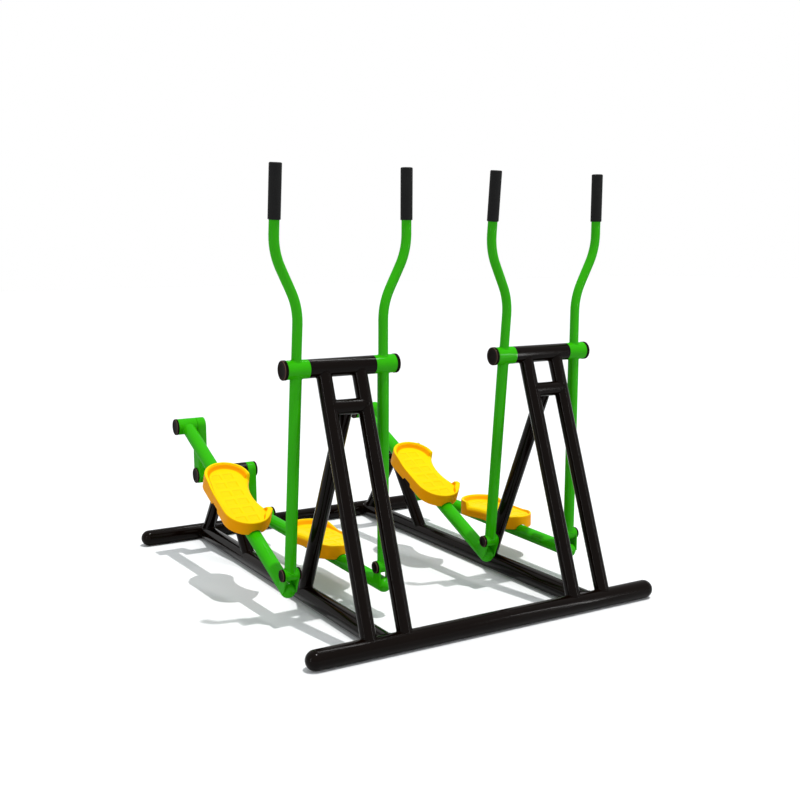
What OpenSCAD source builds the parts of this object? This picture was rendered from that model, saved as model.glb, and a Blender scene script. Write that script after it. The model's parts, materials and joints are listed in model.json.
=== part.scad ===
// Outdoor air walker with two stations side by side on one tubular base.
// X runs to the right, Y to the back and Z up. The origin is on the ground under the middle of the base.
// Each station has a crank at the back, two swinging handles at the front and two pedal bars between them.

/* [Base] */
// Outside diameter of the base tubes
base_od = 63.5; // [60:0.5:68]
// Wall of the base tubes
base_wall = 3; // [2:0.5:5]
// Length of the front base tube between the centres of its domed ends
front_len = 1272; // [1240:2:1400]
// Length of the rear base tube between the centres of its domed ends
rear_len = 1266; // [1240:2:1400]
// Distance from the front base tube to the rear one, axis to axis
base_depth = 1578; // [1550:2:1620]
// Distance between the centre planes of the two stations
station_pitch = 784; // [740:2:820]

/* [Posts and legs] */
// Outside diameter of the posts, rungs and legs
post_od = 50; // [45:1:52]
// Wall of the posts, rungs and legs
post_wall = 2.5; // [2:0.5:4]
// Distance between the two front posts of a station, axis to axis
post_pitch = 126; // [120:2:150]
// Height of the handle pivot above the ground
pivot_z = 850; // [840:2:870]
// Distance of the handle pivot behind the front base tube
pivot_back = 288; // [274:2:300]
// Height of the rung between the front posts
rung_z = 728; // [660:2:740]
// Distance of the rear leg's foot behind the front base tube
rear_foot = 573; // [540:2:620]
// Distance from the rung's axis back to the rear leg's axis, at the rung's height
rear_leg_shift = 13; // [8:1:16]
// Height of the crank axle above the ground
axle_z = 332; // [320:1:345]
// Distance of the crank axle in front of the rear base tube
axle_fore = 268; // [256:2:290]
// Distance between the feet of the two support legs, on top of the beam
support_spread = 410; // [390:2:420]

/* [Handle pivots] */
// Outside diameter of the top tube and of the handle sleeves
top_od = 60; // [58:1:64]
// Length of a handle sleeve
sleeve_len = 75; // [66:1:80]
// Outside diameter of a sleeve's end cap
sleeve_cap_od = 62.5; // [60:0.5:66]
// Thickness of a sleeve's end cap
sleeve_cap_t = 12; // [6:1:16]
// Diameter of the shaft in the top tube
shaft_d = 25; // [22:1:28]

/* [Bearings] */
// Outside diameter of the bearings
bearing_od = 52; // [47:1:53]
// Width of the bearings
bearing_w = 15; // [12:1:16]

/* [Handles] */
// Outside diameter of a handle's lower tube
drop_od = 38; // [34:1:40]
// Distance from the handle pivot down to the lower pivot
drop_len = 675; // [660:1:680]
// Outside diameter of a handle's upper tube
riser_od = 32; // [28:1:34]
// Wall of the handle tubes
handle_wall = 2.5; // [2:0.5:4]
// Height of the upper tube's first bend above the handle pivot
bend_z = 141; // [110:1:180]
// Centreline radius of the bends
bend_r = 220; // [150:5:230]
// Angle of each bend
bend_angle = 27; // [24:1:32]
// Sideways shift of the grip from the lower tube
grip_shift = 85; // [75:1:100]
// Length of bare tube between the second bend and the grip
neck_len = 42.5; // [20:0.5:80]
// Outside diameter of a grip
grip_od = 39; // [36:0.5:44]
// Length of a grip
grip_len = 165; // [130:1:190]
// Thickness of a grip's closed end
grip_end_t = 6; // [4:1:10]

/* [Cranks] */
// Distance from the axle to a crank pin
crank_r = 200; // [185:1:210]
// Width of a crank arm, which is also the diameter of its round ends
arm_w = 62; // [58:1:66]
// Thickness of a crank arm along the axle
arm_t = 36; // [30:1:40]
// Wall of a crank arm
arm_wall = 4; // [3:0.5:6]
// Diameter of the crank axle
axle_d = 25; // [22:1:28]
// Outside diameter of the axle housing
housing_od = 62; // [60:1:66]
// Length of the axle housing
housing_len = 169; // [150:1:180]
// Diameter of a hub cap
hub_cap_od = 61; // [54:1:64]
// Thickness of a hub cap
hub_cap_t = 7; // [5:1:12]

/* [Pedal bars] */
// Outside diameter of a pedal bar
bar_od = 50; // [46:1:52]
// Wall of a pedal bar
bar_wall = 3; // [2:0.5:5]
// Length of a pedal bar from the crank pin to the centre of its domed end
bar_len = 1013; // [1010:1:1018]
// Distance from the lower pivot forward to the centre of the bar's domed end
pivot_inset = 5; // [4:1:13]
// Height of the lower pivot above the bar's axis
pivot_rise = 62; // [60:1:70]
// Outside diameter of the sleeve on the crank pin
pin_sleeve_od = 62; // [60:1:64]
// Length of the sleeve on the crank pin
pin_sleeve_len = 73; // [68:1:80]
// Diameter of the cap on the crank pin's end
pin_cap_od = 63; // [58:1:66]
// Thickness of the cap on the crank pin's end
pin_cap_t = 9.2; // [6:0.2:14]
// Diameter of the crank pin
crank_pin_d = 25; // [22:1:28]

/* [Lower pivots] */
// Diameter of a handle's lower eye
eye_od = 40; // [36:1:44]
// Thickness of a fork ear
ear_t = 5; // [4:1:8]
// Diameter of a fork ear's round end
ear_od = 41; // [38:1:46]
// Diameter of the lower pivot pin
pivot_pin_d = 16; // [14:1:20]
// Thickness of a lower pivot cap
pivot_cap_t = 8.6; // [6:0.2:12]

/* [Footplates] */
// Distance along the bar from the crank pin to the back of the footplate
heel_along = 358; // [330:2:400]
// Length of a footplate
plate_len = 366; // [348:2:388]
// Width of a footplate
plate_w = 166; // [156:2:176]
// Distance of the footplate's centre line outboard of the bar
plate_shift = 4; // [0:1:8]
// Height of the tread above the bar's axis
tread_rise = 50; // [48:1:56]
// Height of the footplate's side wall
skirt_h = 40; // [36:1:44]
// Thickness of the tread and walls
plate_wall = 5; // [4:0.5:6]
// Height of the heel rim above the tread
heel_h = 19; // [12:1:26]
// Width of the heel rim
heel_w = 15; // [10:1:18]
// Height of the low rim above the tread
rim_h = 6; // [4:1:9]
// Width of the low rim
rim_w = 7; // [5:1:9]
// Height of the lip at the front inner corner
lip_h = 12; // [7:1:16]
// Width of that lip
lip_w = 14; // [9:1:18]
// Width of the footplate at its waist
waist_w = 141; // [134:1:151]
// Radius of the waist's curve
waist_r = 208; // [180:2:240]
// Radius of the front inner corner
corner_r = 18; // [14:1:22]
// Distance that the front inner corner stands out past the side
corner_out = 5; // [2:1:10]
// Distance of the corner's centre behind the front of the footplate
corner_back = 69; // [62:1:76]
// Height of the arch in the outer skirt's lower edge
arch_h = 12; // [6:1:18]
// Length of the arch in the outer skirt's lower edge
arch_len = 52; // [40:1:70]

/* [Footplate brackets] */
// Length of a footplate bracket along the bar
bracket_len = 150; // [130:2:180]
// Width of a footplate bracket
bracket_w = 84; // [78:2:90]
// Thickness of the bracket's steel
bracket_t = 5; // [4:1:6]
// Diameter of the bracket bolts
bolt_d = 8; // [6:1:10]
// Distance from a bolt to the end and side of the bracket
bolt_edge = 12; // [10:1:14]

/* [Hidden] */
$fn = 64;
// Overrun of every cut past the face that it opens
overrun = 1;
// Gap left at a coped joint for its weld
weld_gap = 0.2;
// Radial clearance of a running fit
run_gap = 0.05;
// Clearance between faces that move past each other
side_gap = 0.4;
// Clearance between a hub cap and the pedal bar that passes it
pass_gap = 1;
// Length and clearance of the spigots that locate the end caps
spigot_len = 1.5;
spigot_gap = 0.15;
// Distance from a sleeve's end to its bearing
bearing_inset = 2.2;
// Wall and depth of a bearing's rings, and the recess of its shield
ring_w = 4;
shield_recess = 0.8;
// Rounding of cap and grip edges
cap_round = 3;
grip_round = 4;
// Thickness of the discs that hold the shaft in the top tube
end_disc_t = 8;
// Rim left inside the axle housing between its bearings
shoulder_t = 3;
// Depth by which one welded tube runs into the wall of the next
weld_bite = 1.5;
// Width and height of the butt welds along a bent tube
bead_w = 3;
bead_lift = 0.2;
// Diameter of the vent holes inside the sleeves
vent_d = 8;
// Rubber to tube clearance of a grip
grip_gap = 0.1;
// Clearance between the footplate and the bar that passes through it
notch_gap = 1;
// Height of the bosses under the tread, their diameter, and the gap under them
boss_h = 7;
boss_d = 20;
seat_gap = 0.2;
// Size of a bracket bolt's head, and the clearance round the bolt
bolt_head_h = 5.5;
bolt_head_d = 14;
bolt_gap = 0.2;
// Place of the waist along the footplate, as a share of its length
waist_share = 0.53;
// End of the heel rim's fade, as a share of the footplate's length
fade_share = 0.46;
// Radius of the circle that bounds the corner lip
lip_r = 50;
// Place of the bracket along the footplate, as a share of its length
bracket_share = 0.52;

green = [0.16, 0.62, 0.08];
black = [0.07, 0.06, 0.06];
dark = [0.13, 0.1, 0.09];
yellow = [1, 0.9, 0.05];
rubber = [0.14, 0.14, 0.14];
steel = [0.62, 0.63, 0.65];

// Stations and sides
left = -1;
right = 1;

base_z = base_od / 2;
beam_top = base_od;
front_y = -base_depth / 2;
rear_y = base_depth / 2;

// Places in the side plane of a station, as [y, z]
handle_pivot = [front_y + pivot_back, pivot_z];
post_foot = [front_y, base_z];
rung_share = (rung_z - base_z) / (pivot_z - base_z);
rung_at = post_foot + rung_share * (handle_pivot - post_foot);
axle_at = [rear_y - axle_fore, axle_z];
rear_leg_top = [rung_at[0] + rear_leg_shift, rung_z];
rear_leg_foot = [front_y + rear_foot, beam_top];

// Places across a station, outwards from its centre plane
arm_in = housing_len / 2 + side_gap;
arm_out = arm_in + arm_t;
hub_out = arm_out + hub_cap_t;
handle_x = hub_out + pass_gap + bar_od / 2;
top_half = handle_x - sleeve_len / 2 - side_gap;
shaft_half = top_half + side_gap + sleeve_len - spigot_len - side_gap;

// Distance along a pedal bar from the crank pin to the lower pivot
pivot_along = bar_len - pivot_inset;

// The linkage at rest: crank pins, lower pivots, and the turn of each bar and handle
function crank_pin_at(side) = axle_at - [0, side * crank_r];
function lower_cross(a, ra, b, rb) =
    let (
        d = norm(b - a),
        u = (b - a) / d,
        s = (ra * ra - rb * rb + d * d) / (2 * d),
        h = sqrt(ra * ra - s * s),
        n = [-u[1], u[0]],
        one = a + s * u + h * n,
        two = a + s * u - h * n
    )
    one[1] < two[1] ? one : two;
link_len = norm([pivot_along, pivot_rise]);
function lower_pivot_at(side) = lower_cross(crank_pin_at(side), link_len, handle_pivot, drop_len);
function handle_turn(side) =
    let (v = lower_pivot_at(side) - handle_pivot) atan2(v[0], -v[1]);
function bar_turn(side) =
    let (v = lower_pivot_at(side) - crank_pin_at(side)) atan2(v[1], v[0]) - atan2(pivot_rise, -pivot_along);

// The upper handle tube, whose middle straight joins the two bends
bend_rise = bend_r * sin(bend_angle);
bend_side = bend_r * (1 - cos(bend_angle));
slant_len = (grip_shift - 2 * bend_side) / sin(bend_angle);
grip_base = bend_z + 2 * bend_rise + slant_len * cos(bend_angle) + neck_len;

// Places on a pedal bar: x towards the station's centre plane, y back along the bar from the crank pin
sleeve_in_x = handle_x - arm_out - side_gap;
sleeve_out_x = sleeve_in_x - pin_sleeve_len;
ear_in_x = drop_od / 2 + 1.5 * side_gap;
heel_y = -heel_along - plate_w / 2;
toe_y = -heel_along - plate_len + plate_w / 2;
waist_y = -heel_along - waist_share * plate_len;
waist_x = -plate_shift - plate_w / 2 + waist_w + waist_r;
corner_x = -plate_shift + plate_w / 2 + corner_out - corner_r;
corner_y = -heel_along - plate_len + corner_back;
fade_y = -heel_along - fade_share * plate_len;
skirt_z = tread_rise - skirt_h;
bracket_y = -heel_along - bracket_share * plate_len;
bracket_top = tread_rise - plate_wall - boss_h - seat_gap;
bolt_reach = boss_h - bolt_gap;

// Solid rod along X about the origin
module rod_x(len, d) {
    rotate([0, 90, 0]) cylinder(h = len, d = d, center = true);
}

// Tube along X about the origin
module tube_x(len, od, id) {
    difference() {
        rod_x(len, od);
        rod_x(len + 2 * overrun, id);
    }
}

// Tube that stands on the origin
module tube(len, od, wall) {
    difference() {
        cylinder(h = len, d = od);
        translate([0, 0, -overrun]) cylinder(h = len + 2 * overrun, d = od - 2 * wall);
    }
}

// Half outline of a round-ended solid, to be turned about its length
module domed_outline(len, r) {
    intersection() {
        union() {
            translate([0, -len / 2]) square([r, len]);
            translate([0, len / 2]) circle(r = r);
            translate([0, -len / 2]) circle(r = r);
        }
        translate([0, -len / 2 - r]) square([r, len + 2 * r]);
    }
}

// Tube along X with a dome at each end
module domed_tube_x(len, od, wall) {
    rotate([0, 90, 0]) rotate_extrude() difference() {
        domed_outline(len, od / 2);
        domed_outline(len, od / 2 - wall);
    }
}

// Disc with one rounded edge, standing on the origin
module round_disc(d, t, r) {
    rotate_extrude() {
        square([d / 2 - r, t]);
        square([d / 2, t - r]);
        translate([d / 2 - r, t - r]) intersection() {
            circle(r = r);
            square([r, r]);
        }
    }
}

// Moves to the origin of a station
module at_station(st) {
    translate([st * station_pitch / 2, 0, 0]) children();
}

// Moves to a place in a station's side plane
module at(p) {
    translate([0, p[0], p[1]]) children();
}

// Moves to a place in a station's side plane, with z towards another place
module aimed(p, q) {
    at(p) rotate([atan2(q[1] - p[1], q[0] - p[0]) - 90, 0, 0]) children();
}

// Tube in a station's side plane from one place to another
module strut(p, q, od, wall) {
    aimed(p, q) tube(norm(q - p), od, wall);
}

// Moves to a handle, with x outwards from the station, and z up the handle from its pivot
module at_handle(st, side) {
    at_station(st) at(handle_pivot) rotate([handle_turn(side), 0, 0])
        rotate([0, 0, side < 0 ? 180 : 0]) translate([handle_x, 0, 0]) children();
}

// Moves to a pedal bar, with x towards the station's centre plane, and y back along the bar from its pin
module at_bar(st, side) {
    at_station(st) at(crank_pin_at(side)) rotate([bar_turn(side), 0, 0])
        mirror([side < 0 ? 0 : 1, 0, 0]) translate([-handle_x, 0, 0]) children();
}

module front_base_tube() {
    color(black) translate([0, front_y, base_z]) domed_tube_x(front_len, base_od, base_wall);
}

module rear_base_tube() {
    color(black) translate([0, rear_y, base_z]) domed_tube_x(rear_len, base_od, base_wall);
}

// Room taken by the two base tubes, for the tubes that are coped to them
module base_tube_room() {
    for (y = [front_y, rear_y])
        translate([0, y, base_z]) rod_x(front_len, base_od + 2 * weld_gap);
}

// Room taken by a beam
module beam_room() {
    translate([0, rear_y, base_z]) rotate([90, 0, 0]) cylinder(h = base_depth, d = base_od + 2 * weld_gap);
}

module beam(st) {
    color(black) at_station(st) difference() {
        translate([0, rear_y, base_z]) rotate([90, 0, 0]) tube(base_depth, base_od, base_wall);
        base_tube_room();
    }
}

module post(st, side) {
    color(black) at_station(st) difference() {
        translate([side * post_pitch / 2, 0, 0]) strut(post_foot, handle_pivot, post_od, post_wall);
        base_tube_room();
        at(handle_pivot) rod_x(2 * top_half, top_od + 2 * weld_gap);
    }
}

module rung(st) {
    color(black) at_station(st) difference() {
        at(rung_at) tube_x(post_pitch, post_od, post_od - 2 * post_wall);
        for (side = [left, right])
            translate([side * post_pitch / 2, 0, 0]) aimed(post_foot, handle_pivot)
                cylinder(h = norm(handle_pivot - post_foot), d = post_od + 2 * weld_gap);
    }
}

module rear_leg(st) {
    run = rear_leg_foot - rear_leg_top;
    deep = rear_leg_top + run * (rung_z - base_z) / (rung_z - beam_top);
    color(black) at_station(st) difference() {
        union() {
            strut(rear_leg_top, deep, post_od, post_wall);
            // Plate that closes the tube where it stands out behind the rung
            aimed(rear_leg_top, rear_leg_foot) cylinder(h = post_wall, d = post_od);
        }
        at(rung_at) rod_x(post_pitch, post_od + 2 * weld_gap);
        beam_room();
    }
}

module top_tube(st) {
    color(black) at_station(st) at(handle_pivot) {
        tube_x(2 * top_half, top_od, bearing_od);
        for (side = [left, right])
            translate([side * (top_half - end_disc_t / 2), 0, 0])
                tube_x(end_disc_t, bearing_od + weld_bite, shaft_d + 2 * run_gap);
    }
}

module top_shaft(st) {
    color(steel) at_station(st) at(handle_pivot) rod_x(2 * shaft_half, shaft_d);
}

// One leg of the A-shaped support; way is -1 for the front leg and 1 for the rear one
module support_leg(st, way) {
    foot = [axle_at[0] + way * support_spread / 2, beam_top];
    run = foot - axle_at;
    deep = axle_at + run * (axle_z - base_z) / (axle_z - beam_top);
    color(black) at_station(st) difference() {
        strut(axle_at, deep, post_od, post_wall);
        at(axle_at) rod_x(housing_len, housing_od + 2 * weld_gap);
        beam_room();
        base_tube_room();
        translate([-post_od, axle_at[0] - (way > 0 ? 2 * post_od : 0) - (way > 0 ? -weld_gap : weld_gap), 0])
            cube([2 * post_od, 2 * post_od, axle_z]);
    }
}

module axle_housing(st) {
    color(black) at_station(st) at(axle_at) difference() {
        rod_x(housing_len, housing_od);
        rod_x(housing_len + 2 * overrun, bearing_od - 2 * shoulder_t);
        for (side = [left, right])
            translate([side * housing_len / 2, 0, 0])
                rod_x(2 * (bearing_inset + bearing_w + run_gap), bearing_od + 2 * run_gap);
    }
}

// Ball bearing along X about the origin, with recessed shields
module bearing(bore_d) {
    difference() {
        tube_x(bearing_w, bearing_od, bore_d + 2 * run_gap);
        for (side = [left, right])
            translate([side * bearing_w / 2, 0, 0])
                tube_x(2 * shield_recess, bearing_od - 2 * ring_w, bore_d + 2 * ring_w);
    }
}

// The bearings of one station: two in each handle sleeve and two in the axle housing
module bearings(st) {
    sleeve_in = top_half + side_gap + bearing_inset + bearing_w / 2;
    sleeve_out = top_half + side_gap + sleeve_len - bearing_inset - bearing_w / 2;
    color(steel) at_station(st) {
        for (side = [left, right], x = [sleeve_in, sleeve_out])
            at(handle_pivot) translate([side * x, 0, 0]) bearing(shaft_d);
        for (side = [left, right])
            at(axle_at) translate([side * (housing_len / 2 - bearing_inset - bearing_w / 2), 0, 0])
                bearing(axle_d);
    }
}

// Outline of a crank arm from the axle out to the pin, drawn along y
module arm_outline(w) {
    circle(d = w);
    translate([0, crank_r]) circle(d = w);
    translate([-w / 2, 0]) square([w, crank_r]);
}

// Crank arm along +Z, its inner face at x = arm_in
module crank_arm() {
    translate([arm_in, 0, 0]) rotate([90, 0, 90]) {
        difference() {
            linear_extrude(arm_t) arm_outline(arm_w);
            translate([0, 0, arm_wall])
                linear_extrude(arm_t - 2 * arm_wall) arm_outline(arm_w - 2 * arm_wall);
        }
        cylinder(h = arm_t, d = axle_d + 2 * arm_wall);
        translate([0, crank_r, 0]) cylinder(h = arm_t, d = crank_pin_d + 2 * arm_wall);
    }
}

module crank(st) {
    color(green) at_station(st) at(axle_at) {
        rod_x(2 * arm_out, axle_d);
        rotate([180, 0, 0]) crank_arm();
        rotate([0, 0, 180]) crank_arm();
    }
}

module hub_caps(st) {
    color(dark) at_station(st) at(axle_at)
        for (side = [left, right])
            rotate([0, side * 90, 0]) translate([0, 0, arm_out + weld_gap])
                round_disc(hub_cap_od, hub_cap_t - weld_gap, cap_round);
}

// Bent tube in the XZ plane: a straight, a bend outwards, a slant, a bend back and a last straight
module riser(od) {
    module bend() {
        translate([bend_r, 0, 0]) rotate([90, 0, 0]) rotate([0, 0, 180 - bend_angle])
            rotate_extrude(angle = bend_angle) translate([bend_r, 0]) circle(d = od);
    }
    // Butt weld round the joint of two stretches
    module bead() {
        translate([0, 0, -bead_w / 2]) cylinder(h = bead_w, d = od + 2 * bead_lift);
    }
    cylinder(h = bend_z, d = od);
    translate([0, 0, bend_z]) {
        bead();
        bend();
        translate([bend_side, 0, bend_rise]) rotate([0, bend_angle, 0]) {
            bead();
            cylinder(h = slant_len, d = od);
            translate([0, 0, slant_len]) bead();
        }
        translate([grip_shift, 0, 2 * bend_rise + slant_len * cos(bend_angle)]) {
            bead();
            rotate([0, 180, 0]) bend();
            cylinder(h = neck_len + grip_len - grip_end_t - grip_gap, d = od);
        }
    }
}

module handle(st, side) {
    color(green) at_handle(st, side) {
        difference() {
            tube_x(sleeve_len, top_od, bearing_od + 2 * run_gap);
            // Vent hole into the lower tube
            translate([0, 0, -top_od]) cylinder(h = top_od, d = vent_d);
        }
        difference() {
            union() {
                riser(riser_od);
                translate([0, 0, -drop_len]) cylinder(h = drop_len, d = drop_od);
            }
            difference() {
                union() {
                    riser(riser_od - 2 * handle_wall);
                    translate([0, 0, -drop_len]) cylinder(h = drop_len, d = drop_od - 2 * handle_wall);
                }
                translate([0, 0, -drop_len]) rod_x(drop_od, eye_od);
            }
            rod_x(sleeve_len, top_od - 2 * weld_bite);
            translate([0, 0, -drop_len]) rod_x(2 * drop_od, eye_od - 2 * weld_bite);
        }
        translate([0, 0, -drop_len]) tube_x(drop_od, eye_od, pivot_pin_d + 2 * run_gap);
    }
}

module grip(st, side) {
    color(rubber) at_handle(st, side) translate([grip_shift, 0, grip_base]) difference() {
        rotate_extrude() {
            square([grip_od / 2 - grip_round, grip_len]);
            translate([0, grip_round]) square([grip_od / 2, grip_len - 2 * grip_round]);
            for (y = [grip_round, grip_len - grip_round])
                translate([grip_od / 2 - grip_round, y]) circle(r = grip_round);
        }
        translate([0, 0, -overrun])
            cylinder(h = grip_len - grip_end_t + overrun, d = riser_od + 2 * grip_gap);
    }
}

module sleeve_cap(st, side) {
    color(dark) at_handle(st, side) translate([sleeve_len / 2 + weld_gap, 0, 0]) rotate([0, 90, 0]) {
        round_disc(sleeve_cap_od, sleeve_cap_t - weld_gap, cap_round);
        translate([0, 0, -spigot_len]) cylinder(h = spigot_len + overrun, d = bearing_od - 2 * spigot_gap);
    }
}

// Fork ear beside the bar's domed end, in the bar's side plane
module fork_ear() {
    rotate([90, 0, 90]) translate([0, 0, -ear_t / 2]) linear_extrude(ear_t) {
        translate([-pivot_along, pivot_rise]) circle(d = ear_od);
        translate([-pivot_along - ear_od / 2, 0]) square([ear_od, pivot_rise]);
    }
}

module pedal_bar(st, side) {
    color(green) at_bar(st, side) {
        translate([(sleeve_in_x + sleeve_out_x) / 2, 0, 0])
            tube_x(pin_sleeve_len, pin_sleeve_od, bearing_od + 2 * run_gap);
        difference() {
            union() {
                rotate([90, 0, 0]) rotate_extrude() difference() {
                    translate([0, bar_len / 2]) domed_outline(bar_len, bar_od / 2);
                    translate([0, bar_len / 2]) domed_outline(bar_len, bar_od / 2 - bar_wall);
                }
                for (x = [ear_in_x + ear_t / 2, -ear_in_x - ear_t / 2])
                    translate([x, 0, 0]) fork_ear();
            }
            rod_x(pin_sleeve_len, pin_sleeve_od - 2 * weld_bite);
            translate([-bar_od / 2 - overrun, 0, -bar_od]) cube([bar_od + 2 * overrun, bar_od, 2 * bar_od]);
            translate([0, -pivot_along, pivot_rise]) rod_x(2 * bar_od, pivot_pin_d + 2 * run_gap);
        }
    }
}

// Corner points of the straight edge that touches two circles on one side of the line between their centres
function tangent_edge(a, ra, b, rb, turn) =
    let (
        v = b - a,
        aim = atan2(v[1], v[0]) + turn * acos((ra - rb) / norm(v)),
        u = [cos(aim), sin(aim)]
    )
    [a, a + ra * u, b + rb * u, b];

// Plan of a footplate seen from above, drawn in by an inset
module plate_plan(inset) {
    half = plate_w / 2 - inset;
    toe = [-plate_shift, toe_y];
    corner = [corner_x, corner_y];
    difference() {
        union() {
            translate([-plate_shift, heel_y]) circle(r = half);
            translate(toe) circle(r = half);
            translate([-plate_shift - half, toe_y]) square([2 * half, heel_y - toe_y]);
            translate(corner) circle(r = corner_r - inset);
            for (turn = [left, right])
                polygon(tangent_edge(toe, half, corner, corner_r - inset, turn));
        }
        translate([waist_x, waist_y]) circle(r = waist_r + inset);
    }
}

module footplate(st, side) {
    color(yellow) at_bar(st, side) {
        difference() {
            union() {
                translate([0, 0, skirt_z]) linear_extrude(skirt_h) plate_plan(0);
                translate([0, 0, tread_rise - overrun]) linear_extrude(rim_h + overrun) difference() {
                    plate_plan(0);
                    plate_plan(rim_w);
                    translate([waist_x, waist_y]) circle(r = waist_r + rim_w + overrun);
                }
                translate([0, 0, tread_rise - overrun]) linear_extrude(heel_h + overrun) difference() {
                    plate_plan(0);
                    plate_plan(heel_w);
                    translate([-plate_w, heel_y - plate_len]) square([2 * plate_w, plate_len]);
                }
                translate([0, 0, tread_rise - overrun]) linear_extrude(lip_h + overrun) intersection() {
                    difference() {
                        plate_plan(0);
                        plate_plan(lip_w);
                    }
                    translate([corner_x + corner_r, corner_y]) difference() {
                        circle(r = lip_r);
                        translate([-lip_r, corner_r / 2]) square([2 * lip_r, lip_r]);
                    }
                }
                translate([-plate_shift - plate_w / 2, 0, 0]) rotate([90, 0, 90])
                    linear_extrude(rim_w) polygon([
                        [heel_y, tread_rise - overrun], [heel_y, tread_rise + heel_h],
                        [fade_y, tread_rise + rim_h], [fade_y, tread_rise - overrun]
                    ]);
            }
            translate([0, 0, skirt_z - overrun])
                linear_extrude(skirt_h - plate_wall + overrun) plate_plan(plate_wall);
            rotate([90, 0, 0]) cylinder(h = bar_len, d = bar_od + 2 * notch_gap);
            translate([0, waist_y, skirt_z - arch_len + arch_h]) intersection() {
                rod_x(2 * plate_w, 2 * arch_len);
                translate([-plate_w, -arch_len / 2, 0]) cube([plate_w, arch_len, 2 * arch_len]);
            }
        }
        difference() {
            at_bolts() translate([0, 0, bracket_top + seat_gap])
                cylinder(h = boss_h + plate_wall / 2, d = boss_d);
            at_bolts() cylinder(h = bracket_top + bolt_reach + bolt_gap, d = bolt_d + 2 * bolt_gap);
        }
    }
}

// The four bolt places of a footplate bracket
module at_bolts() {
    for (x = [-1, 1], y = [-1, 1])
        translate([x * (bracket_w / 2 - bolt_edge), bracket_y + y * (bracket_len / 2 - bolt_edge), 0])
            children();
}

module bracket(st, side) {
    shank_base = bracket_top - bracket_t - bolt_gap;
    color(steel) at_bar(st, side) {
        difference() {
            union() {
                translate([-bracket_w / 2, bracket_y - bracket_len / 2, bracket_top - bracket_t])
                    cube([bracket_w, bracket_len, bracket_t]);
                for (y = [-1, 1])
                    translate([-bar_od / 2, bracket_y + y * bracket_len / 4 - bracket_t / 2, 0])
                        cube([bar_od, bracket_t, bracket_top - bracket_t / 2]);
            }
            rotate([90, 0, 0]) cylinder(h = bar_len, d = bar_od + 2 * weld_gap);
            at_bolts() cylinder(h = bracket_top + overrun, d = bolt_d + 2 * bolt_gap);
        }
        at_bolts() {
            translate([0, 0, shank_base - bolt_head_h])
                cylinder(h = bolt_head_h, d = bolt_head_d, $fn = 6);
            translate([0, 0, shank_base - bolt_gap])
                cylinder(h = bracket_t + bolt_reach + bolt_gap, d = bolt_d);
        }
    }
}

// Crank pin with its two bearings and its end cap
module crank_pin(st, side) {
    color(dark) at_bar(st, side) {
        pin_len = pin_sleeve_len - spigot_len - side_gap;
        translate([sleeve_in_x - pin_len / 2, 0, 0]) rod_x(pin_len, crank_pin_d);
        for (x = [sleeve_in_x - bearing_inset - bearing_w / 2, sleeve_out_x + bearing_inset + bearing_w / 2])
            translate([x, 0, 0]) bearing(crank_pin_d);
        translate([sleeve_out_x - weld_gap, 0, 0]) rotate([0, -90, 0]) {
            round_disc(pin_cap_od, pin_cap_t - weld_gap, cap_round);
            translate([0, 0, -spigot_len])
                cylinder(h = spigot_len + overrun, d = bearing_od - 2 * spigot_gap);
        }
    }
}

// Lower pivot pin with the cap on each side of the fork
module pivot_pin(st, side) {
    color(dark) at_bar(st, side) translate([0, -pivot_along, pivot_rise]) {
        rod_x(2 * (ear_in_x + ear_t), pivot_pin_d);
        for (way = [-1, 1])
            rotate([0, way * 90, 0]) translate([0, 0, ear_in_x + ear_t + weld_gap])
                round_disc(ear_od, pivot_cap_t, cap_round);
    }
}

front_base_tube();
rear_base_tube();
beam(left);  // left_beam
beam(right);  // right_beam
post(left, left);  // left_station_left_post
post(left, right);  // left_station_right_post
post(right, left);  // right_station_left_post
post(right, right);  // right_station_right_post
rung(left);  // left_station_rung
rung(right);  // right_station_rung
rear_leg(left);  // left_station_rear_leg
rear_leg(right);  // right_station_rear_leg
top_tube(left);  // left_station_top_tube
top_tube(right);  // right_station_top_tube
top_shaft(left);  // left_station_top_shaft
top_shaft(right);  // right_station_top_shaft
support_leg(left, -1);  // left_station_front_support_leg
support_leg(left, 1);  // left_station_rear_support_leg
support_leg(right, -1);  // right_station_front_support_leg
support_leg(right, 1);  // right_station_rear_support_leg
axle_housing(left);  // left_station_axle_housing
axle_housing(right);  // right_station_axle_housing
bearings(left);  // left_station_bearings
bearings(right);  // right_station_bearings
crank(left);  // left_station_crank
crank(right);  // right_station_crank
hub_caps(left);  // left_station_hub_caps
hub_caps(right);  // right_station_hub_caps
handle(left, left);  // left_station_left_handle
handle(left, right);  // left_station_right_handle
handle(right, left);  // right_station_left_handle
handle(right, right);  // right_station_right_handle
grip(left, left);  // left_station_left_grip
grip(left, right);  // left_station_right_grip
grip(right, left);  // right_station_left_grip
grip(right, right);  // right_station_right_grip
sleeve_cap(left, left);  // left_station_left_sleeve_cap
sleeve_cap(left, right);  // left_station_right_sleeve_cap
sleeve_cap(right, left);  // right_station_left_sleeve_cap
sleeve_cap(right, right);  // right_station_right_sleeve_cap
pedal_bar(left, left);  // left_station_left_pedal_bar
pedal_bar(left, right);  // left_station_right_pedal_bar
pedal_bar(right, left);  // right_station_left_pedal_bar
pedal_bar(right, right);  // right_station_right_pedal_bar
footplate(left, left);  // left_station_left_footplate
footplate(left, right);  // left_station_right_footplate
footplate(right, left);  // right_station_left_footplate
footplate(right, right);  // right_station_right_footplate
bracket(left, left);  // left_station_left_bracket
bracket(left, right);  // left_station_right_bracket
bracket(right, left);  // right_station_left_bracket
bracket(right, right);  // right_station_right_bracket
crank_pin(left, left);  // left_station_left_crank_pin
crank_pin(left, right);  // left_station_right_crank_pin
crank_pin(right, left);  // right_station_left_crank_pin
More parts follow.
